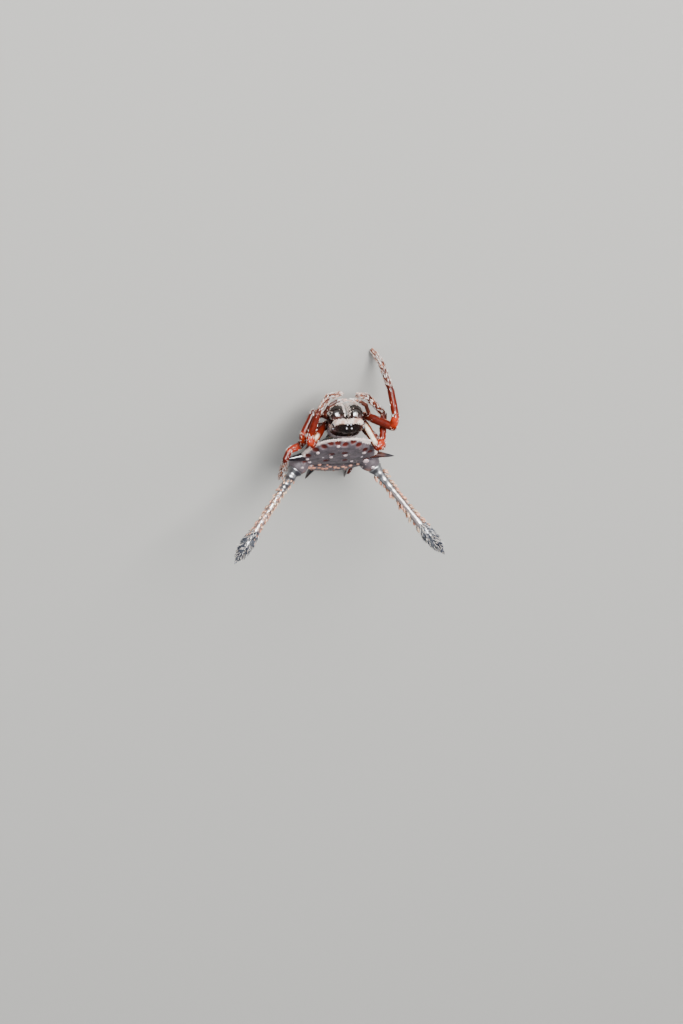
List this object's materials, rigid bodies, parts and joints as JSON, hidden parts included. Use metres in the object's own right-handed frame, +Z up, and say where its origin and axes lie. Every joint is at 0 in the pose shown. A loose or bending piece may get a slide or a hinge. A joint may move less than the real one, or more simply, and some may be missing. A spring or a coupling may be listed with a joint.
{
  "type": "spiny orb weaver spider",
  "caption": "Still life-size spiny orb weaver: wide hard abdomen with two long club-tipped spines, short side and rear spines, glossy dark head and eight posed legs standing on small flat feet.",
  "frame": {"origin": "middle of the bounding box in plan, on the plane its standing feet rest on", "axes": "+Z up, -Y the way the head faces, +X to the spider's left"},
  "size_m": [0.0174, 0.0142, 0.009],
  "materials": {
    "dark_shell": "glossy black-brown cuticle of the head and jaws",
    "leg_red": "satin deep red cuticle with paler joints and feet",
    "shield_grey": "purple-grey hard shield with maroon pits",
    "spine_black": "glossy black to dark brown long spines",
    "eye_black": "clear-lensed black eyes"
  },
  "bodies": {
    "root": {"abdomen": "shield_grey", "cephalothorax": "dark_shell", "chelicera_left": "dark_shell", "chelicera_right": "dark_shell", "eye_front_lateral_left": "eye_black", "eye_front_lateral_right": "eye_black", "eye_front_median_left": "eye_black", "eye_front_median_right": "eye_black", "eye_rear_lateral_left": "eye_black", "eye_rear_lateral_right": "eye_black", "eye_rear_median_left": "eye_black", "eye_rear_median_right": "eye_black", "leg_1_left": "leg_red", "leg_1_right": "leg_red", "leg_2_left": "leg_red", "leg_2_right": "leg_red", "leg_3_left": "leg_red", "leg_3_right": "leg_red", "leg_4_left": "leg_red", "leg_4_right": "leg_red", "long_spine_left": "spine_black", "long_spine_right": "spine_black", "palp_left": "leg_red", "palp_right": "leg_red", "spinnerets": "dark_shell"}
  },
  "joints": []
}
